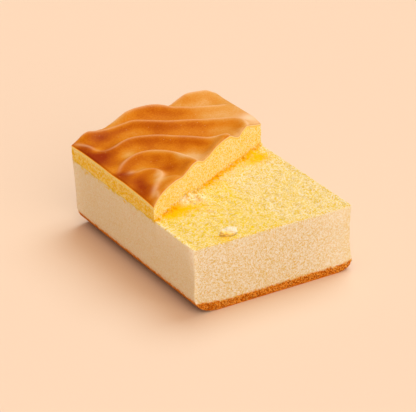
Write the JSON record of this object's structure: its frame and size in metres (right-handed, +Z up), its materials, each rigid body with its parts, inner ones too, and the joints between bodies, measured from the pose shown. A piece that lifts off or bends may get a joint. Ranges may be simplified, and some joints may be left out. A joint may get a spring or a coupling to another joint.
{
  "type": "tiger skin cake slice",
  "caption": "Cut rectangular slice of pale sponge on a thin browned base, its far half topped by a yellow layer with a browned, wrinkled skin.",
  "frame": {"origin": "bottom centre of the whole slice, on the surface that it rests on", "axes": "+Z up, +X to the right across the cut front face, +Y from the bare front end towards the end that carries the skin layer"},
  "size_m": [0.0724, 0.1006, 0.042],
  "materials": {
    "pale_sponge": "dry matt open crumb, cream at the cuts, yellow on the bare top, browned underneath",
    "browned_skin": "browned satin skin over a yellow crumb"
  },
  "bodies": {
    "root": {"sponge_slab": "pale_sponge", "tiger_skin": "browned_skin"}
  },
  "joints": []
}
